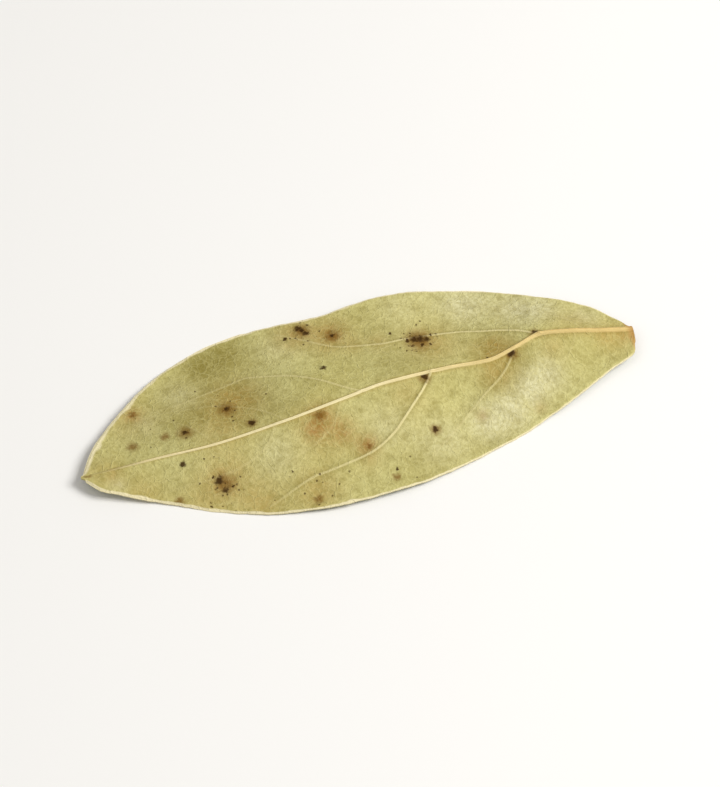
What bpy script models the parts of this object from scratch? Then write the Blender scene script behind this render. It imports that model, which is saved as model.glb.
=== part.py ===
"""A dried bay leaf, lying flat with its pale, veined underside up.

Lengths are in metres, +Z is up, +X points from the tip to the base where the stalk has
snapped off, and the leaf rests on four low stretches of its edge at Z = 0.
"""

import math

import bmesh
import bpy
import numpy as np

MM = 0.001

# Driving dimensions
LEAF_LENGTH = 80 * MM
BLADE_THICKNESS = 0.45 * MM
RIB_HEIGHT = 0.6 * MM  # how far the midrib stands out of the blade at the base
RIB_HEIGHT_AT_TIP = 0.1 * MM
RIB_FADE = 0.6  # below 1 thins the midrib quickly at first, then slowly
SEATING = 0.14 * MM  # how far the lowest stretches of the edge are pressed flat

# The grid that the leaf is shaped from: rows run along it, columns across it
ROWS = 58
COLUMNS_EACH_SIDE = 8
COLUMN_CROWDING = 1.25  # above 1 crowds the columns towards the midrib
ROW_CROWDING = 0.75  # from 0, evenly spaced rows, to just under 1, rows crowded at both ends
SHARP_ANGLE = 50  # degrees; steeper corners are shaded as edges

SAGE = (0.52, 0.47, 0.22, 1)  # pale khaki green of the dried underside
MATT = 0.6

# Shape of the leaf seen from above. Each knot is a share of the length, counted from the
# base, and a distance in millimetres from the straight line between base and tip.
FAR_EDGE = [
    (0.0, 2.3), (0.02, 4.5), (0.05, 7.3), (0.14, 11.9), (0.26, 16.4), (0.40, 18.1),
    (0.52, 17.3), (0.65, 18.0), (0.72, 17.3), (0.81, 14.7), (0.90, 9.5), (0.95, 6.0),
    (0.98, 3.1), (1.0, 0.3),
]
NEAR_EDGE = [
    (0.0, -0.6), (0.013, -2.4), (0.05, -3.6), (0.18, -8.2), (0.34, -12.3), (0.48, -14.4),
    (0.58, -14.6), (0.69, -13.3), (0.79, -10.5), (0.87, -7.3), (0.95, -4.4), (0.98, -3.2),
    (1.0, -1.3),
]
MIDRIB = [
    (0.0, 1.5), (0.05, 1.9), (0.12, 2.7), (0.165, 3.2), (0.215, 2.2), (0.27, 1.25), (0.34, 1.5),
    (0.45, 1.2), (0.54, 0.2), (0.65, -0.8), (0.77, -1.3), (0.88, -0.8), (1.0, -0.4),
]

# Height of the blade's upper surface in millimetres, against the same shares of the length
MIDRIB_RISE = [(0.0, 1.5), (0.15, 3.4), (0.26, 2.9), (0.50, 3.8), (0.80, 2.6), (1.0, 1.3)]
FAR_EDGE_RISE = [(0.0, 1.5), (0.10, 0.9), (0.22, 0.0), (0.45, 0.9), (0.70, 0.0), (1.0, 1.3)]
NEAR_EDGE_RISE = [(0.0, 1.5), (0.12, 0.8), (0.30, 0.0), (0.55, 0.8), (0.80, 0.0), (1.0, 1.3)]


def smooth_curve(knots):
    """Returns a function that runs smoothly through the knots and never overshoots them."""
    place, value = np.array(knots, float).T
    step = np.diff(place)
    slope = np.diff(value) / step
    tangent = np.concatenate([slope[:1], np.zeros(len(slope) - 1), slope[-1:]])
    same_way = slope[:-1] * slope[1:] > 0
    weight_a = 2 * step[1:] + step[:-1]
    weight_b = step[1:] + 2 * step[:-1]
    with np.errstate(divide="ignore"):
        harmonic = (weight_a + weight_b) / (weight_a / slope[:-1] + weight_b / slope[1:])
    tangent[1:-1] = np.where(same_way, harmonic, 0)

    def at(share):
        i = int(np.clip(np.searchsorted(place, share) - 1, 0, len(step) - 1))
        u = (share - place[i]) / step[i]
        from_value = (1 + 2 * u) * (1 - u) ** 2 * value[i] + u * u * (3 - 2 * u) * value[i + 1]
        from_slope = u * (1 - u) ** 2 * tangent[i] - u * u * (1 - u) * tangent[i + 1]
        return from_value + from_slope * step[i]

    return at


far_edge, near_edge, midrib = map(smooth_curve, (FAR_EDGE, NEAR_EDGE, MIDRIB))
midrib_rise, far_edge_rise, near_edge_rise = map(
    smooth_curve, (MIDRIB_RISE, FAR_EDGE_RISE, NEAR_EDGE_RISE)
)


def fall_off(across):
    """Share of the drop from midrib to edge: creased at the midrib, level at the edge."""
    return 1 - (1 - across) ** 2 * (1 + across)


def blade_point(share, side):
    """A point on the blade's upper surface; side is 0 on the midrib, 1 and -1 on the edges."""
    edge, edge_rise = (far_edge, far_edge_rise) if side > 0 else (near_edge, near_edge_rise)
    across = abs(side)
    centre = midrib(share)
    crest = midrib_rise(share)
    y = centre + across * (edge(share) - centre)
    z = crest + fall_off(across) * (edge_rise(share) - crest)
    x = LEAF_LENGTH * (0.5 - share)
    return x, y * MM, z * MM + BLADE_THICKNESS - SEATING


def make_leaf():
    bm = bmesh.new()
    bmesh.ops.create_grid(bm, x_segments=ROWS, y_segments=2 * COLUMNS_EACH_SIDE, size=1)
    underneath = bm.verts.layers.float.new("underneath")
    quarter_turn = ROW_CROWDING * math.pi / 2
    for vert in bm.verts:
        share = (1 - math.sin(vert.co.x * quarter_turn) / math.sin(quarter_turn)) / 2
        side = math.copysign(abs(vert.co.y) ** COLUMN_CROWDING, vert.co.y)
        x, y, z = blade_point(share, side)
        vert[underneath] = max(z - BLADE_THICKNESS, 0)
        if side == 0:
            z += RIB_HEIGHT + (RIB_HEIGHT_AT_TIP - RIB_HEIGHT) * share ** RIB_FADE
        vert.co = (x, y, z)

    copied = bmesh.ops.extrude_face_region(bm, geom=bm.faces[:])["geom"]
    for vert in copied:
        if isinstance(vert, bmesh.types.BMVert):
            vert.co.z = vert[underneath]
    bmesh.ops.recalc_face_normals(bm, faces=bm.faces)
    bmesh.ops.triangulate(bm, faces=bm.faces)

    middle = (max(v.co.y for v in bm.verts) + min(v.co.y for v in bm.verts)) / 2
    bmesh.ops.translate(bm, vec=(0, -middle, 0), verts=bm.verts)
    mesh = bpy.data.meshes.new("bay_leaf")
    bm.to_mesh(mesh)
    bm.free()
    mesh.shade_smooth()
    mesh.set_sharp_from_angle(angle=math.radians(SHARP_ANGLE))
    leaf = bpy.data.objects.new("bay_leaf", mesh)
    bpy.context.scene.collection.objects.link(leaf)
    return leaf


def dried_leaf_material():
    material = bpy.data.materials.new("dried bay leaf")
    material.use_nodes = True
    shader = material.node_tree.nodes["Principled BSDF"]
    shader.inputs["Base Color"].default_value = SAGE
    shader.inputs["Roughness"].default_value = MATT
    shader.inputs["Metallic"].default_value = 0
    return material


for existing in list(bpy.data.objects):
    bpy.data.objects.remove(existing)
make_leaf().data.materials.append(dried_leaf_material())
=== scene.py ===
"""The look of a dried bay leaf that lies on a pale floor with its veined underside up.

A finer leaf of the same shape replaces the solid one. Its midrib, side veins and rolled edge
are modelled, and its two skins carry the fine net of veins, the stains and the specks.
Lengths in knots, veins and marks are in millimetres of a leaf that is 80 mm long.
"""

import math

import bmesh
import bpy
import numpy as np
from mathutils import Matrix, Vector, noise


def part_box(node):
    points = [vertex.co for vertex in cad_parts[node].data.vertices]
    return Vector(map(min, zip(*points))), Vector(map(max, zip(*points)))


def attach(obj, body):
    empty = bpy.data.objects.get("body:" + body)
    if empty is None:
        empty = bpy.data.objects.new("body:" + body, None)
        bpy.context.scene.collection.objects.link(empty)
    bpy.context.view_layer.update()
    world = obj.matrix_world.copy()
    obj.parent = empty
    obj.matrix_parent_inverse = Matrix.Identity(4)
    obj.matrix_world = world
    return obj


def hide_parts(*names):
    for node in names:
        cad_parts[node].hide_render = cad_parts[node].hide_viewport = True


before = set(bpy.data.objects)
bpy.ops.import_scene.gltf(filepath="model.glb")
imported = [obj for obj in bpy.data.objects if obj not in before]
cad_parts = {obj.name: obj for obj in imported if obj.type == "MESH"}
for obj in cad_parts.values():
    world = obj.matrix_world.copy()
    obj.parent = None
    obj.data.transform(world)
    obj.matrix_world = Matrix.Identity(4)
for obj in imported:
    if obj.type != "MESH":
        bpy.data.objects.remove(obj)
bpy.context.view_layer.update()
leaf_low, leaf_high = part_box("bay_leaf")
LENGTH_MM = 80
MM = (leaf_high.x - leaf_low.x) / LENGTH_MM  # one of those millimetres, in metres

# Driving sizes of the leaf, in millimetres
TOP_SKIN_HEIGHT = 0.31  # of the edge's lowest stretches above the floor
BLADE_THICKNESS, LEAST_THICKNESS = 0.33, 0.12
RIB_HEIGHT, RIB_HEIGHT_AT_TIP = 0.6, 0.1
RIB_HALF_WIDTH, RIB_HALF_WIDTH_AT_TIP = 0.47, 0.14
RIB_FADE = 0.6  # below 1 thins the midrib quickly at first, then slowly
RIB_GROOVE_DEPTH = 0.14  # under the midrib, in the lower skin
VEIN_HEIGHT, VEIN_HALF_WIDTH = 0.16, 0.2
VEIN_GROOVE_DEPTH, VEIN_GROOVE_HALF_WIDTH = 0.04, 0.5
VEIN_SWELL, VEIN_SWELL_HALF_WIDTH = 0.16, 1.3  # the blade rises softly along a side vein
EDGE_ROLL, EDGE_ROLL_WIDTH = 0.11, 0.17  # the upper skin turns down at the very edge
BEAD_HEIGHT, BEAD_FROM_EDGE, BEAD_HALF_WIDTH = 0.05, 0.45, 0.4  # low swelling inside the edge
NIB_LENGTH, NIB_HALF_WIDTH = 0.5, 0.3  # the point in which the midrib ends

# Random waves dried into the leaf: height and length in millimetres, and seed
BROAD_WAVES = 0.34, 11, 1.7
FINE_WAVES = 0.11, 4.2, 5.1
EDGE_WAVES = 0.16, 5.5, 9.3
OUTLINE_WAVES = 0.11, 2.6, 3.3
OUTLINE_RIPPLES = 0.07, 0.9, 7.7
TORN_FIBRES = 0.4, 1.9, 2.2

# Shares and ratios
STIFF_BESIDE_RIB = 0.16  # share of the half width that the midrib keeps from waving
SWELL_GAIN = 1.4  # above 1 gives weaker side veins the full swell too
RIB_RIDGE_SPREAD, VEIN_RIDGE_SPREAD = 1.05, 1.4  # width of a ridge against that of its colour
LOWER_EDGE_ROLL = 0.6  # of the lower skin against the upper one
VEIN_FADE = 0.8  # share of its strength that a side vein loses on its way out
# The flanks of a side vein carry painted shade, which fades out by this reach
VEIN_REACH = 5  # half widths from a side vein at which its flanks have faded away
TORN_SHARE, NIB_SHARE = 0.009, 0.006  # of the length that the uneven break and the nib take
SHARP_ANGLE = 55  # degrees; steeper corners are shaded as edges

# The grid that the leaf is shaped from: rows run along it, columns across it
ROWS = 350
COLUMNS_EACH_SIDE = 62
ROW_CROWDING = 0.75  # towards both ends, from 0 to just under 1
COLUMN_CROWDING = 0.6  # towards midrib and edges, from 0 to just under 1

IMAGE_WIDE, IMAGE_TALL = 720, 787  # proportions of the rendered picture

# Shape of the leaf from above. Each knot is a share of the length, counted from the base,
# and a distance from the straight line between base and tip.
FAR_EDGE = [
    (0.0, 2.3), (0.02, 4.5), (0.05, 7.3), (0.14, 11.9), (0.26, 16.4), (0.40, 18.1),
    (0.52, 17.3), (0.65, 18.0), (0.72, 17.3), (0.81, 14.7), (0.90, 9.5), (0.95, 6.0),
    (0.98, 3.1), (1.0, 0.3),
]
NEAR_EDGE = [
    (0.0, -0.6), (0.013, -2.4), (0.05, -3.6), (0.18, -8.2), (0.34, -12.3), (0.48, -14.4),
    (0.58, -14.6), (0.69, -13.3), (0.79, -10.5), (0.87, -7.3), (0.95, -4.4), (0.98, -3.2),
    (1.0, -1.3),
]
MIDRIB = [
    (0.0, 1.5), (0.05, 1.9), (0.12, 2.7), (0.165, 3.2), (0.215, 2.2), (0.27, 1.25), (0.34, 1.5),
    (0.45, 1.2), (0.54, 0.2), (0.65, -0.8), (0.77, -1.3), (0.88, -0.8), (1.0, -0.4),
]

# Height of the upper skin, against the same shares of the length
MIDRIB_RISE = [(0.0, 1.5), (0.15, 3.4), (0.26, 2.9), (0.50, 3.8), (0.80, 2.6), (1.0, 1.3)]
FAR_EDGE_RISE = [(0.0, 1.5), (0.10, 0.9), (0.22, 0.0), (0.45, 0.9), (0.70, 0.0), (1.0, 1.3)]
NEAR_EDGE_RISE = [(0.0, 1.5), (0.12, 0.8), (0.30, 0.0), (0.55, 0.8), (0.80, 0.0), (1.0, 1.3)]

# Side veins: how strongly each one shows, and its way out from the midrib as a share of the
# length and a share of the half width, positive on the far half
SIDE_VEINS = [
    (0.85, [(0.166, 0.0), (0.204, 0.24), (0.25, 0.37), (0.293, 0.43), (0.36, 0.445), (0.42, 0.45),
            (0.455, 0.49), (0.506, 0.59), (0.56, 0.78), (0.60, 0.9)]),
    (0.2, [(0.08, 0.0), (0.11, 0.35), (0.16, 0.6), (0.23, 0.75), (0.31, 0.87)]),
    (0.12, [(0.335, 0.0), (0.37, 0.2), (0.43, 0.36), (0.49, 0.42)]),
    (0.5, [(0.50, 0.0), (0.535, 0.15), (0.567, 0.29), (0.603, 0.41), (0.65, 0.51), (0.69, 0.57),
           (0.74, 0.56), (0.80, 0.56), (0.85, 0.62)]),
    (0.2, [(0.64, 0.0), (0.68, 0.2), (0.74, 0.38), (0.81, 0.5), (0.87, 0.62)]),
    (0.15, [(0.77, 0.0), (0.80, 0.25), (0.85, 0.5), (0.90, 0.7)]),
    (0.12, [(0.10, 0.0), (0.12, -0.3), (0.17, -0.6), (0.25, -0.82)]),
    (0.5, [(0.214, 0.0), (0.238, -0.16), (0.276, -0.3), (0.312, -0.44), (0.36, -0.62),
           (0.42, -0.8)]),
    (1.0, [(0.371, 0.0), (0.393, -0.14), (0.42, -0.27), (0.445, -0.38), (0.47, -0.48),
           (0.515, -0.58), (0.567, -0.61), (0.62, -0.64), (0.666, -0.75), (0.71, -0.9)]),
    (0.15, [(0.54, 0.0), (0.56, -0.17), (0.60, -0.32), (0.67, -0.45), (0.75, -0.6), (0.81, -0.78)]),
    (0.2, [(0.66, 0.0), (0.69, -0.22), (0.75, -0.4), (0.83, -0.58), (0.88, -0.75)]),
    (0.12, [(0.79, 0.0), (0.82, -0.25), (0.87, -0.5), (0.91, -0.7)]),
]

# Dents and domes dried into the blade: millimetres from the base, millimetres from the
# base-to-tip line, radius and height
DOMES = [
    (15.0, -3.4, 3.6, 0.5), (20.5, -6.4, 3.8, 0.5), (21.0, -1.2, 2.2, -0.35),
    (26.5, -4.0, 3.2, -0.2), (30.0, 7.0, 6.0, -0.4), (20.0, 11.0, 5.0, 0.35),
    (34.0, 14.0, 5.0, 0.3), (52.0, -4.5, 5.0, 0.3), (57.0, 11.0, 6.0, -0.4),
    (40.0, -9.5, 4.0, 0.25), (66.0, -4.5, 4.5, 0.25), (45.0, 5.0, 5.0, 0.25),
    (12.0, 7.5, 3.5, 0.3),
]

# Marks on the skin: millimetres from the base, millimetres from the base-to-tip line, radius
SPECKS = [
    # beside the midrib, most of them where a side vein leaves it
    (17.9, 1.45, 0.45), (13.7, 3.8, 0.37), (21.4, 1.9, 0.2), (30.9, 0.9, 0.42), (55.9, 0.6, 0.5),
    # large cluster on the far half
    (31.0, 8.5, 0.36), (30.0, 8.5, 0.5), (29.1, 8.4, 0.6), (28.2, 8.2, 0.46), (30.4, 7.4, 0.22),
    (29.2, 7.2, 0.24), (28.1, 7.0, 0.2), (27.4, 8.8, 0.2), (32.9, 10.5, 0.28),
    # small cluster at the far edge, and two near it
    (44.8, 16.0, 0.5), (44.4, 15.4, 0.3), (44.0, 14.8, 0.4), (47.1, 14.8, 0.26), (40.6, 13.2, 0.3),
    # single ones
    (43.7, 7.1, 0.42), (31.7, -6.8, 0.38), (65.0, 2.3, 0.38), (58.4, 4.7, 0.38), (66.7, -2.7, 0.4),
    # cluster on the near half
    (62.5, -6.2, 0.55), (62.0, -7.7, 0.42), (63.2, -5.6, 0.25), (61.0, -7.3, 0.2),
    # faint ones near the near edge
    (52.5, -7.9, 0.18), (45.1, -9.9, 0.18), (38.6, -11.4, 0.22), (64.5, -9.2, 0.2),
]
BROWN_SPOTS = [
    (17.9, 1.4, 0.8), (13.8, 3.7, 0.65), (30.9, 0.8, 0.8), (55.9, 0.6, 0.7), (29.4, 8.3, 1.6),
    (44.4, 15.4, 1.1), (40.6, 13.0, 0.95), (46.8, -1.3, 0.7), (41.4, -7.3, 0.4), (31.7, -6.8, 0.7),
    (65.0, 2.3, 1.0), (58.4, 4.7, 1.1), (72.5, 2.5, 0.7), (67.8, 2.6, 0.6), (61.8, -6.8, 1.2),
    (68.5, -7.3, 0.6), (39.1, -12.6, 0.5), (50.3, -12.8, 0.6), (71.0, 8.0, 0.5), (79.4, -0.6, 0.3),
]

# Soft patches of colour, partly painted shade and sheen: the same, and how strong each one is
PATCHES = {
    # Olive tone, partly painted shade: the dark smudge at the far edge, the far half beside the
    # midrib and the stripe between the midrib and the domes near the base
    "olive": [
        (56, 15, 3.2, 1.0), (59.5, 14, 3.2, 1.0), (57, 5.5, 4.5, 0.9), (64, 6, 5, 0.7),
        (71, 4, 4, 0.15), (52, 2, 3, 0.4), (33, 5, 5, 0.5), (20, 3.5, 2.6, 0.9),
        (17, 0, 3, 0.6), (22, -1.8, 2, 0.7), (35, -11.5, 4, 0.4), (76, -4.5, 2.5, 0.3),
        (24, -10.8, 2.6, 0.4), (8, -2, 3, 0.2), (60.5, 13.2, 1.8, 0.5), (63.5, 11.2, 1.8, 0.45),
    ],
    # Tan tone, partly painted shade: beside the faint vein and under the midrib near the base, and
    # along the near edge
    "tan": [
        (41, 13.8, 3, 0.8), (46, 15, 3, 0.6), (8, 4.5, 3, 0.4), (20, 3, 3, 0.8), (57, 6, 4, 0.8),
        (27.5, 7, 3.6, 0.6), (50, -11.5, 3.5, 0.7), (58, -11, 3.5, 0.7), (66, -9, 3.5, 0.5),
        (73, -5.5, 3, 0.5), (78, -0.5, 3, 0.4), (2.5, 1, 2.8, 0.6), (61.5, -6, 3.5, 0.6),
        (47, -3, 4, 0.6), (20.5, -0.6, 2.4, 0.6), (34, -1, 2.5, 0.4), (60, 1.5, 4, 0.5),
        (72, 7.5, 3.5, 0.4), (35, 9.6, 1.7, 0.5), (38.5, 10.2, 1.7, 0.5), (42, 11.2, 1.7, 0.4),
        (4.5, 0.9, 1.3, 0.5), (12, 1, 2, 0.4), (42, -9.2, 1.8, 0.35), (76, -1.3, 1.1, 0.5),
    ],
    "rust": [
        (46.7, -1.2, 1.5, 1.0), (47.8, -3.0, 1.6, 0.95), (44.4, -4.2, 1.8, 0.7),
        (41.6, -7, 1.5, 1.0), (29.5, 8.3, 2.2, 0.4), (45, 15, 2.2, 0.3), (61.8, -6.6, 2.2, 0.4),
        (40.6, 13.2, 1.6, 0.7), (0.8, 0.6, 1.4, 0.6), (71, 8, 1.2, 0.7), (24.6, -6.1, 0.9, 0.5),
        (16.4, -7.1, 0.9, 0.4),
    ],
    # Pale tone, partly a painted sheen, most of all on the domes of the near half near the base
    "pale": [
        (14, -2.8, 2.4, 0.8), (17, -4.1, 2.4, 1.0), (20.5, -6.4, 2.8, 1.0), (24, -7.2, 2.6, 0.9),
        (31, -8.5, 4, 0.45), (21, 13.5, 4, 0.8), (14, 10, 3.6, 0.8), (30, 15, 4, 0.3),
        (38, -5, 3.5, 0.4), (54, -5, 3.5, 0.4), (11.5, 8.8, 3, 0.6), (5.5, 5.5, 2.4, 0.5),
        (76, -2.9, 1.3, 0.5), (49, 13.5, 2.5, 0.3), (64, 9.5, 3, 0.35), (69.5, 6, 2, 0.3),
    ],
    "peppered": [
        (29.5, 8.4, 2.4, 1.0), (61.7, -6.6, 2.4, 0.9), (44.6, 15.3, 2.2, 0.9), (58, 5, 3, 0.4),
        (50, -12, 4, 0.2), (38, -11, 3, 0.3), (67, 4, 5, 0.1),
    ],
}


def smooth_curve(knots):
    """Returns a function that runs smoothly through the knots and never overshoots them."""
    place, value = np.array(knots, float).T
    step = np.diff(place)
    slope = np.diff(value) / step
    tangent = np.concatenate([slope[:1], np.zeros(len(slope) - 1), slope[-1:]])
    same_way = slope[:-1] * slope[1:] > 0
    weight_a = 2 * step[1:] + step[:-1]
    weight_b = step[1:] + 2 * step[:-1]
    with np.errstate(divide="ignore"):
        harmonic = (weight_a + weight_b) / (weight_a / slope[:-1] + weight_b / slope[1:])
    tangent[1:-1] = np.where(same_way, harmonic, 0)

    def at(share):
        i = np.clip(np.searchsorted(place, share) - 1, 0, len(step) - 1)
        u = (share - place[i]) / step[i]
        from_value = (1 + 2 * u) * (1 - u) ** 2 * value[i] + u * u * (3 - 2 * u) * value[i + 1]
        from_slope = u * (1 - u) ** 2 * tangent[i] - u * u * (1 - u) * tangent[i + 1]
        return from_value + from_slope * step[i]

    return at


far_edge, near_edge, midrib = map(smooth_curve, (FAR_EDGE, NEAR_EDGE, MIDRIB))
midrib_rise, far_edge_rise, near_edge_rise = map(
    smooth_curve, (MIDRIB_RISE, FAR_EDGE_RISE, NEAR_EDGE_RISE)
)


def across_blade(share, side):
    """Distance from the base-to-tip line at a share of the length and of the half width."""
    edge = np.where(side > 0, far_edge(share), near_edge(share))
    centre = midrib(share)
    return centre + np.abs(side) * (edge - centre)


def waves(points, height, length, seed):
    """Smooth random heights, up or down to about this height, in waves about this long."""
    places = (Vector((x / length, y / length, seed)) for x, y in points)
    return height * np.array([noise.noise(place) for place in places])


def nearest_vein(points):
    """For flat points: signed distance to the nearest side vein, and how strongly it shows."""
    nearest = np.full(len(points), np.inf)
    signed, shows = np.zeros(len(points)), np.zeros(len(points))
    for strength, way in SIDE_VEINS:
        knot = np.linspace(0, 1, len(way))
        shares, sides = np.array(way).T
        on_way = np.linspace(0, 1, 5 * len(way))
        share = smooth_curve(list(zip(knot, shares)))(on_way)
        side = smooth_curve(list(zip(knot, sides)))(on_way)
        path = np.stack([share * LENGTH_MM, across_blade(share, side)], 1)
        for i, (start, end) in enumerate(zip(path[:-1], path[1:])):
            run = end - start
            out = points - start
            u = np.clip(out @ run / (run @ run), 0, 1)
            gap = np.linalg.norm(out - u[:, None] * run, axis=1)
            closer = gap < nearest
            turn = run[0] * out[:, 1] - run[1] * out[:, 0]
            fade = 1 - ((i + u) / (len(path) - 1)) ** 2 * VEIN_FADE
            nearest = np.where(closer, gap, nearest)
            signed = np.where(closer, np.copysign(gap, turn), signed)
            shows = np.where(closer, strength * fade, shows)
    return signed, shows


def hump(distance, half_width):
    """A rounded ridge that is 1 high at no distance and gone past twice its half width."""
    steepness = 2.4  # 2 would make a plain bell curve
    return np.exp(-np.abs(distance / half_width) ** steepness)


def soft_patches(points, patches):
    """How far flat points lie inside soft round patches that melt into each other."""
    outside = np.ones(len(points))
    for along, across, radius, strength in patches:
        gap = np.linalg.norm(points - (along, across), axis=1)
        outside *= 1 - strength * np.exp(-((gap / radius) ** 2))
    return 1 - outside


def crowd(place, amount):
    """Moves places between 0 and 1 closer to both ends."""
    return place - amount * np.sin(2 * math.pi * place) / (2 * math.pi)


def grid_leaf():
    """A flat grid with its copy below, closed round the rim. Layers keep each vertex's place."""
    bm = bmesh.new()
    bmesh.ops.create_grid(bm, x_segments=ROWS, y_segments=2 * COLUMNS_EACH_SIDE, size=1)
    row, column, below = (bm.verts.layers.float.new(name) for name in ("row", "column", "below"))
    for vert in bm.verts:
        vert[row], vert[column] = (1 - vert.co.x) / 2, vert.co.y
    for part in bmesh.ops.extrude_face_region(bm, geom=bm.faces[:])["geom"]:
        if isinstance(part, bmesh.types.BMVert):
            part[below] = 1
    for face in bm.faces:
        face.material_index = int(all(vert[below] for vert in face.verts))
    places = np.array([(vert[row], vert[column], vert[below]) for vert in bm.verts])
    return bm, places


def shape_leaf(places):
    """Vertex places in millimetres from the base, and what the skins need to know of each."""
    stretch = ROW_CROWDING * math.pi / 2
    share = (1 - np.sin((1 - 2 * places[:, 0]) * stretch) / math.sin(stretch)) / 2
    side = np.copysign(crowd(np.abs(places[:, 1]), COLUMN_CROWDING), places[:, 1])
    below = places[:, 2] > 0.5
    across = np.abs(side)
    edge = across_blade(share, np.sign(side))
    half_width = np.abs(edge - midrib(share))
    flat = np.stack([share * LENGTH_MM, across_blade(share, side)], 1)
    from_rib = side * half_width
    vein_gap, vein_shows = nearest_vein(flat)
    thinner = share**RIB_FADE
    rib_height = RIB_HEIGHT + (RIB_HEIGHT_AT_TIP - RIB_HEIGHT) * thinner
    rib_half_width = RIB_HALF_WIDTH + (RIB_HALF_WIDTH_AT_TIP - RIB_HALF_WIDTH) * thinner

    # Distance from the edge at right angles to it, worked out from how the edge slants. It is 0
    # on the midrib's middle line too, which leaves a fine furrow along the crest.
    step, least_step = 0.004, 1e-6  # the least step is for the tip, which has nothing ahead
    ahead = np.clip(share + step, 0, 1)
    slant = (across_blade(ahead, np.sign(side)) - edge) / (
        np.maximum(ahead - share, least_step) * LENGTH_MM
    )
    from_edge = (1 - across) * half_width / np.sqrt(1 + slant**2)

    # Sheet: creased at the midrib, level at the edge, with dried-in waves between the veins
    crest = midrib_rise(share)
    edge_rise = np.where(side > 0, far_edge_rise(share), near_edge_rise(share))
    drop = 1 - (1 - across) ** 2 * (1 + across)
    sheet = crest + drop * (edge_rise - crest)
    loose = 1 - hump(across, STIFF_BESIDE_RIB)
    inside = 1 - across**4
    swelling = VEIN_SWELL * np.minimum(SWELL_GAIN * vein_shows, 1)
    sheet += waves(flat, *BROAD_WAVES) * loose
    sheet += waves(flat, *FINE_WAVES) * loose
    sheet += swelling * hump(vein_gap, VEIN_SWELL_HALF_WIDTH) * loose * inside
    sheet += waves(flat, *EDGE_WAVES) * across**6
    for dome_along, dome_across, radius, height in DOMES:
        gap = np.linalg.norm(flat - (dome_along, dome_across), axis=1)
        sheet += height * np.exp(-((gap / radius) ** 2)) * loose * inside

    # Upper skin: raised midrib and side veins, and an edge that rolls under
    lifted = sheet + TOP_SKIN_HEIGHT
    at_edge = hump(from_edge, EDGE_ROLL_WIDTH)
    top = lifted + rib_height * hump(from_rib, rib_half_width * RIB_RIDGE_SPREAD)
    top += VEIN_HEIGHT * vein_shows * hump(vein_gap, VEIN_HALF_WIDTH * VEIN_RIDGE_SPREAD)
    top += BEAD_HEIGHT * hump(from_edge - BEAD_FROM_EDGE, BEAD_HALF_WIDTH) - EDGE_ROLL * at_edge

    # Lower skin: grooves under the veins, and nothing below the floor
    bottom = lifted - BLADE_THICKNESS + LOWER_EDGE_ROLL * EDGE_ROLL * at_edge
    rib_groove = RIB_GROOVE_DEPTH * hump(from_rib, rib_half_width)
    bottom += rib_groove + VEIN_GROOVE_DEPTH * vein_shows * hump(vein_gap, VEIN_GROOVE_HALF_WIDTH)
    bottom = np.maximum(bottom, 0)
    height = np.where(below, bottom, np.maximum(top, bottom + LEAST_THICKNESS))

    # The outline wavers where the leaf is wide, and the broken stalk ends in uneven fibres,
    # whose lengths vary only across the leaf
    wide = half_width > 2
    ripple = waves(flat, *OUTLINE_WAVES) + waves(flat, *OUTLINE_RIPPLES)
    outline = flat[:, 1] + ripple * np.sign(side) * across**8 * wide
    torn = waves(flat * (0, 1), *TORN_FIBRES) * hump(share, TORN_SHARE)
    nib = NIB_LENGTH * hump(1 - share, NIB_SHARE) * hump(from_rib, NIB_HALF_WIDTH)
    vein_ratio = vein_gap / VEIN_HALF_WIDTH
    knows = {
        "from_rib": from_rib / rib_half_width,
        "from_vein": vein_ratio,
        "vein_shows": vein_shows * hump(vein_ratio, VEIN_REACH),
        "from_edge": from_edge,
        **{name: soft_patches(flat, patches) for name, patches in PATCHES.items()},
    }
    return np.stack([flat[:, 0] + torn + nib, outline, height], 1), flat, knows


def make_leaf():
    """The finer leaf, with attributes that tell its skins where veins, edge and patches lie."""
    bm, places = grid_leaf()
    shaped, flat, knows = shape_leaf(places)
    middle = (shaped[:, 1].max() + shaped[:, 1].min()) / 2
    for vert, (along, across, height) in zip(bm.verts, shaped):
        vert.co = (leaf_high.x - along * MM, (across - middle) * MM, height * MM)
    bmesh.ops.recalc_face_normals(bm, faces=bm.faces)
    mesh = bpy.data.meshes.new("dried_bay_leaf")
    bm.to_mesh(mesh)
    bm.free()
    for layer in ("row", "column", "below"):
        mesh.attributes.remove(mesh.attributes[layer])
    place = mesh.attributes.new("flat", "FLOAT_VECTOR", "POINT")
    place.data.foreach_set("vector", np.pad(flat, ((0, 0), (0, 1))).astype(np.float32).ravel())
    for name, values in knows.items():
        attribute = mesh.attributes.new(name, "FLOAT", "POINT")
        attribute.data.foreach_set("value", values.astype(np.float32))
    mesh.shade_smooth()
    mesh.set_sharp_from_angle(angle=math.radians(SHARP_ANGLE))
    leaf = bpy.data.objects.new("dried_bay_leaf", mesh)
    bpy.context.scene.collection.objects.link(leaf)
    return leaf


def linear(hex_colour):
    """An sRGB hex colour as linear red, green, blue and alpha."""
    parts = [int(hex_colour[i : i + 2], 16) / 255 for i in (0, 2, 4)]
    return (*(p / 12.92 if p <= 0.04045 else ((p + 0.055) / 1.055) ** 2.4 for p in parts), 1)


def node(tree, kind, inputs, **settings):
    """Adds a node with its settings, and a value, or a link from a node or socket, on inputs."""
    made = tree.nodes.new("ShaderNode" + kind)
    for name, value in settings.items():
        setattr(made, name, value)
    for socket, value in inputs.items():
        if isinstance(value, bpy.types.Node):
            value = next(output for output in value.outputs if output.enabled)
        if isinstance(value, bpy.types.NodeSocket):
            tree.links.new(value, made.inputs[socket])
        else:
            made.inputs[socket].default_value = value
    return made


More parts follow.
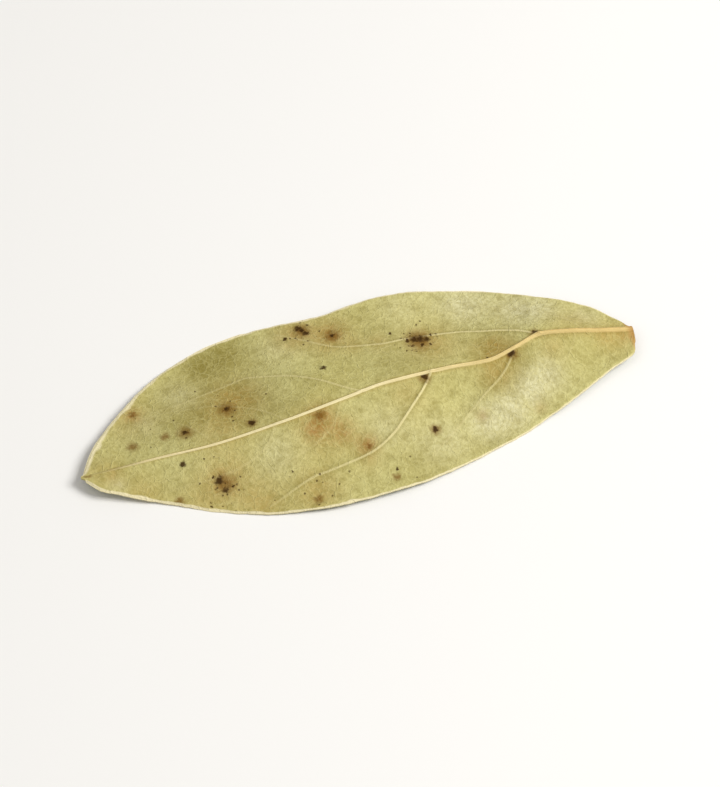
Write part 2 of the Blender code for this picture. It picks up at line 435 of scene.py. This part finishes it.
def marks(tree, place, discs, softness):
    """1 inside any of the discs and 0 outside, with edges as soft as this share of the radius."""
    inside_any = 0.0
    for along, across, radius in discs:
        gap = node(tree, "VectorMath", {0: place, 1: (along, across, 0)}, operation="DISTANCE")
        outer, inner = radius * (1 + softness), radius * (1 - softness)
        inside = node(
            tree, "MapRange", {0: gap, 1: outer, 2: inner, 3: 0, 4: 1},
            interpolation_type="SMOOTHSTEP",
        )
        inside_any = node(tree, "Math", {0: inside, 1: inside_any}, operation="MAXIMUM")
    return inside_any


def leaf_skin(name, look):
    """Skin of a dried leaf: blade, net of fine veins, side veins, midrib, edge and marks.

    The look gives each layer its colour and depth, the veins their relief in millimetres and
    the surface its finish. Negative relief is sunken. Painted shade darkens the flanks of the
    veins and some patches, and a painted sheen lightens others.
    """
    material = bpy.data.materials.new(name)
    material.use_nodes = True
    tree = material.node_tree
    shader = tree.nodes["Principled BSDF"]
    flat = node(tree, "Attribute", {}, attribute_name="flat").outputs["Vector"]
    along = node(tree, "SeparateXYZ", {0: flat})
    known = {
        key: node(tree, "Attribute", {}, attribute_name=key).outputs["Fac"]
        for key in ("from_rib", "from_vein", "vein_shows", "from_edge", *PATCHES)
    }

    # Cloudy noise, by the millimetres from one cloud to the next and the octaves in it
    cloud = {}
    for seed, (key, size_mm, detail) in enumerate((
        ("shake", 1.1, 3), ("jitter", 0.55, 3), ("broad", 9, 4), ("patchy", 2.4, 4),
        ("blotch", 1.5, 4), ("grain", 0.4, 3), ("edge", 3, 2), ("gloss", 1.6, 3),
        ("pebble", 0.6, 4), ("dent", 2.2, 3),
    )):
        cloud[key] = node(
            tree, "TexNoise", {"Vector": flat, "W": seed, "Scale": 1 / size_mm, "Detail": detail},
            noise_dimensions="4D",
        )

    # Places that wander a little, by the noise that moves them and its reach in millimetres:
    # they make net veins uneven and marks ragged
    wandering = {}
    for key, source, reach_mm in (
        ("net", "shake", 1.5), ("mark", "jitter", 1.2), ("dot", "jitter", 0.4),
    ):
        centred = node(
            tree, "VectorMath", {0: cloud[source].outputs["Color"], 1: (0.5, 0.5, 0.5)},
            operation="SUBTRACT",
        )
        wandering[key] = node(
            tree, "VectorMath", {0: centred, 1: [reach_mm] * 3, 2: flat}, operation="MULTIPLY_ADD"
        )
    specks = marks(tree, wandering["mark"], SPECKS, softness=0.5)
    brown_spots = marks(tree, wandering["mark"], BROWN_SPOTS, softness=0.8)

    # Net of fine veins in cells of three sizes, and tiny dark dots in some cells of a fourth.
    # Real cells get smaller than these, but they are too fine to show.
    cells = {}
    for key, place, cell_mm, feature in (
        ("coarse", "net", 3.2, "DISTANCE_TO_EDGE"), ("middle", "net", 1.2, "DISTANCE_TO_EDGE"),
        ("fine", "net", 0.5, "DISTANCE_TO_EDGE"), ("dots", "dot", 0.7, "F1"),
    ):
        cells[key] = node(
            tree, "TexVoronoi", {"Vector": wandering[place], "Scale": 1 / cell_mm}, feature=feature
        )
    chance = node(tree, "SeparateXYZ", {0: cells["dots"].outputs["Color"]})
    rib_gap = node(tree, "Math", {0: known["from_rib"]}, operation="ABSOLUTE")
    vein_gap = node(tree, "Math", {0: known["from_vein"]}, operation="ABSOLUTE")

    # The pale rim is uneven, narrow near the base, wide at the tip and wider on the far half.
    # A larger factor on the distance from the edge makes it narrower.
    by_place = node(tree, "MapRange", {0: along, 1: 5, 2: 78, 3: 2.2, 4: 0.7})
    by_half = node(tree, "MapRange", {0: known["from_rib"], 1: 1, 2: -1, 3: 0.6, 4: 1})
    narrowing = node(tree, "Math", {0: by_place, 1: by_half}, operation="MULTIPLY")
    uneven = node(tree, "Math", {0: cloud["edge"], 1: narrowing}, operation="MULTIPLY")
    edge_gap = node(tree, "Math", {0: known["from_edge"], 1: uneven}, operation="MULTIPLY")

    # Fibres along the midrib, each about 3 mm long and a third of its half width across
    beside = node(tree, "CombineXYZ", {0: along, 1: known["from_rib"]})
    drawn_out = node(tree, "VectorMath", {0: beside, 1: (0.3, 3, 0)}, operation="MULTIPLY")
    fibre = node(tree, "TexNoise", {"Vector": drawn_out, "Scale": 1, "Detail": 3})

    # Masks: none at the first number, full at the second
    mask = {}
    for key, source, none, full in (
        ("coarse net", cells["coarse"], 0.05, 0.0), ("net", cells["middle"], 0.11, 0.0),
        ("fine net", cells["fine"], 0.16, 0.0), ("dot", cells["dots"], 0.32, 0.14),
        # The flanks of the midrib and of the side veins, where shade is painted beside the ridges
        ("rib", rib_gap, 1.2, 0.8), ("shaded rib flank", rib_gap, 3.0, 1.0),
        ("vein", vein_gap, 1.15, 0.45), ("shaded vein flank", vein_gap, 4.5, 1.0),
        ("edge", edge_gap, 0.17, 0.08),
        ("whole end", along, 0.3, 2.5), ("torn end", along, 1.1, 0.2),
        ("rib's tip", along, 80, 68), ("fibre", fibre, 0.5, 0.7),
        ("broad", cloud["broad"], 0.3, 0.7), ("patchy", cloud["patchy"], 0.08, 0.46),
        ("blotch", cloud["blotch"], 0.42, 0.72), ("grain", cloud["grain"], 0.36, 0.66),
    ):
        mask[key] = node(
            tree, "MapRange", {0: source, 1: none, 2: full, 3: 0, 4: 1},
            interpolation_type="SMOOTHSTEP",
        )
    dotted = node(tree, "Math", {0: chance, 1: known["peppered"]}, operation="LESS_THAN")

    # Midrib: ochre where the stalk broke off, then cream, and duller again at the tip
    share = node(tree, "Math", {0: along, 1: LENGTH_MM}, operation="DIVIDE")
    rib_colour = node(tree, "ValToRGB", {0: share})
    at_base, at_quarter, halfway, at_tip = map(linear, look["rib"])
    stops = rib_colour.color_ramp.elements
    stops[0].color, stops[1].color = at_base, at_tip
    stops.new(0.28).color = at_quarter
    stops.new(0.5).color = halfway

    # Colour in layers, from broad to fine, painted shade and sheen among them: where, and where
    # else, how deep, and which colour
    colour = linear(look["blade"])
    for where, also_where, depth, layer in (
        (mask["broad"], 1, 0.7, look["cloud"]),
        # Olive, pale and tan patches: tone, with painted shade in the olive and tan ones and a
        # painted sheen in the pale ones
        (known["olive"], mask["patchy"], look["patch_depth"], look["olive"]),
        (known["pale"], mask["patchy"], look["patch_depth"], look["pale"]),
        (known["tan"], mask["patchy"], look["patch_depth"], look["tan"]),
        (known["rust"], mask["patchy"], look["stain_depth"], look["rust"]),
        (mask["grain"], 1, look["grain_depth"], look["grain"]),
        (mask["blotch"], 1, look["blotch_depth"], look["olive"]),
        (mask["fine net"], 1, look["net_depth"] * 0.5, look["net"]),
        (mask["net"], mask["patchy"], look["net_depth"], look["net"]),
        (mask["coarse net"], 1, look["net_depth"] * 0.8, look["net"]),
        # Painted shade in the creases beside the side veins and the midrib
        (mask["shaded vein flank"], known["vein_shows"], look["flank_shade_depth"], look["olive"]),
        (mask["shaded rib flank"], mask["rib's tip"], look["flank_shade_depth"], look["rib_shade_and_fibre"]),
        (mask["vein"], known["vein_shows"], 1, look["vein"]),
        (brown_spots, mask["patchy"], look["brown_depth"], look["brown"]),
        (mask["dot"], dotted, look["speck_depth"] * 0.8, look["speck"]),
        (specks, 1, look["speck_depth"], look["speck"]),
        (mask["rib"], mask["rib's tip"], 1, rib_colour),
        # Fibres along the midrib, in the colour of its painted flank shade
        (mask["rib"], mask["fibre"], 0.3, look["rib_shade_and_fibre"]),
        (mask["edge"], mask["whole end"], 1, look["edge"]),
        (mask["torn end"], 1, 0.7, look["torn"]),
    ):
        both = node(tree, "Math", {0: where, 1: also_where}, operation="MULTIPLY")
        amount = node(tree, "Math", {0: both, 1: depth}, operation="MULTIPLY", use_clamp=True)
        paint = linear(layer) if isinstance(layer, str) else layer
        colour = node(tree, "Mix", {0: amount, 6: colour, 7: paint}, data_type="RGBA")
    tree.links.new(colour.outputs[2], shader.inputs["Base Color"])

    # Relief that is too fine for the mesh: where, and where else, and how high in millimetres
    relief = 0.0
    off_rib = node(tree, "Math", {0: 1, 1: mask["rib"]}, operation="SUBTRACT")
    for where, also_where, height in (
        (mask["coarse net"], off_rib, look["net_relief"]),
        (mask["net"], off_rib, look["net_relief"]),
        (mask["fine net"], off_rib, look["net_relief"] * 0.5),
        (mask["vein"], known["vein_shows"], look["vein_relief"]),
        (mask["rib"], fibre, 0.06),
        (cloud["pebble"], 1, 0.05),
        (cloud["dent"], 1, 0.12),
        (specks, 1, 0.03),
    ):
        both = node(tree, "Math", {0: where, 1: also_where}, operation="MULTIPLY")
        relief = node(tree, "Math", {0: both, 1: height, 2: relief}, operation="MULTIPLY_ADD")
    bump = node(tree, "Bump", {"Height": relief, "Distance": MM, "Strength": 1})
    tree.links.new(bump.outputs[0], shader.inputs["Normal"])

    # Patches a little glossier or duller than the rest
    varies = 0.07
    smoothest, roughest = look["rough"] - varies, look["rough"] + varies
    rough = node(tree, "MapRange", {0: cloud["gloss"], 1: 0.3, 2: 0.7, 3: smoothest, 4: roughest})
    tree.links.new(rough.outputs[0], shader.inputs["Roughness"])
    shader.inputs["Specular IOR Level"].default_value = look["specular"]
    return material


def pale_underside():
    """Underside of a bay leaf dried in the shade: matt, waxy and sage grey, veins raised."""
    return leaf_skin("dried bay leaf underside", {
        # The midrib's flank colour and the flank depth give painted shade beside the midrib and the
        # side veins, and the flank colour also streaks the midrib's fibres. Olive and tan patches
        # carry painted shade as well as tone, and pale ones a painted sheen.
        "blade": "cec786", "cloud": "bfb46b", "olive": "80722a", "pale": "e3ddb2",
        "tan": "b08d46", "rust": "a26a2c", "grain": "978a44", "net": "d4ca88", "vein": "dfd298",
        "rib_shade_and_fibre": "a98f46", "brown": "704800", "edge": "e8dcb0", "speck": "3c2500",
        "torn": "b98a4c", "rib": ("dcc07c", "e2cc8e", "f2e4b2", "e8d8a6"),
        "patch_depth": 0.88, "stain_depth": 0.85, "grain_depth": 0.4, "blotch_depth": 0.38,
        "net_depth": 0.24, "flank_shade_depth": 0.35, "brown_depth": 0.78, "speck_depth": 0.95,
        "net_relief": 0.03, "vein_relief": 0.05, "rough": 0.6, "specular": 0.12,
    })


def glossy_upper_side():
    """Upper side of the same leaf: leathery, olive green and half glossy, veins sunken."""
    return leaf_skin("dried bay leaf upper side", {
        # The midrib's flank colour and the flank depth give painted shade beside the midrib and the
        # side veins, and the flank colour also streaks the midrib's fibres. Olive and tan patches
        # carry painted shade as well as tone, and pale ones a painted sheen.
        "blade": "8a9150", "cloud": "757f3f", "olive": "5f6a30", "pale": "99a05c",
        "tan": "8f8448", "rust": "8a7138", "grain": "6a7238", "net": "a0a763", "vein": "b9b878",
        "rib_shade_and_fibre": "6f7838", "brown": "6b4e26", "edge": "cdbf86", "speck": "2e1d08",
        "torn": "9c7a42", "rib": ("b98a4a", "c8b870", "c9c384", "b3ac6c"),
        "patch_depth": 0.6, "stain_depth": 0.45, "grain_depth": 0.3, "blotch_depth": 0.3,
        "net_depth": 0.3, "flank_shade_depth": 0.3, "brown_depth": 0.6, "speck_depth": 0.8,
        "net_relief": -0.025, "vein_relief": -0.05, "rough": 0.42, "specular": 0.45,
    })


def make_floor():
    """A pale, matt sheet of studio paper, just low enough not to share the leaf's lowest faces."""
    half_width_m, drop_mm = 3, 0.02
    bm = bmesh.new()
    bmesh.ops.create_grid(bm, x_segments=1, y_segments=1, size=half_width_m)
    bmesh.ops.translate(bm, vec=(0, 0, -drop_mm * MM), verts=bm.verts)
    mesh = bpy.data.meshes.new("floor")
    bm.to_mesh(mesh)
    bm.free()
    floor = bpy.data.objects.new("floor", mesh)
    bpy.context.scene.collection.objects.link(floor)
    paper = bpy.data.materials.new("studio paper")
    paper.use_nodes = True
    shader = paper.node_tree.nodes["Principled BSDF"]
    shader.inputs["Base Color"].default_value = linear("f4f2ee")
    shader.inputs["Roughness"].default_value = 0.9
    shader.inputs["Specular IOR Level"].default_value = 0.2
    mesh.materials.append(paper)


def facing(azimuth, elevation):
    """Unit vector from the leaf; azimuth 0 is in front of it at -Y, and 90 at its right."""
    turn, rise = math.radians(azimuth), math.radians(elevation)
    level = math.cos(rise)
    return Vector((math.sin(turn) * level, -math.cos(turn) * level, math.sin(rise)))


def aim(name, data, place, away):
    """Adds a lamp or camera at a place, looking back along the direction away from the leaf."""
    thing = bpy.data.objects.new(name, data)
    thing.location = place
    thing.rotation_euler = away.to_track_quat("Z", "Y").to_euler()
    bpy.context.scene.collection.objects.link(thing)
    return thing


def light_studio():
    """A large soft key light at the right, a wide weak fill at the left and a pale room.

    Each lamp has its two angles in degrees, its distance and size in metres, and its watts.
    """
    for name, azimuth, elevation, distance, size, power in (
        ("key light", 72, 46, 0.7, 0.34, 4.6),
        ("fill light", -75, 55, 0.8, 0.7, 1.0),
    ):
        lamp = bpy.data.lights.new(name, "AREA")
        lamp.size = size
        lamp.energy = power
        away = facing(azimuth, elevation)
        aim(name, lamp, away * distance, away)
    world = bpy.data.worlds.new("studio")
    world.use_nodes = True
    backdrop = world.node_tree.nodes["Background"]
    backdrop.inputs["Color"].default_value = linear("fbfaf8")
    backdrop.inputs["Strength"].default_value = 0.36
    bpy.context.scene.world = world
    bpy.context.scene.view_settings.view_transform = "Standard"


def place_camera(azimuth, elevation, frame_width):
    """Looks down at the leaf so that the middle of the picture is this many metres wide."""
    lens = bpy.data.cameras.new("camera")
    lens.lens, lens.sensor_width = 150, 36  # millimetres
    distance = frame_width * IMAGE_TALL / IMAGE_WIDE * lens.lens / lens.sensor_width
    away = facing(azimuth, elevation)
    middle = (leaf_low + leaf_high) / 2
    bpy.context.scene.camera = aim("camera", lens, middle + away * distance, away)


leaf = make_leaf()
leaf.data.materials.append(pale_underside())
leaf.data.materials.append(glossy_upper_side())
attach(leaf, "root")
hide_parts("bay_leaf")

make_floor()
light_studio()
place_camera(azimuth=-17, elevation=54, frame_width=0.1)
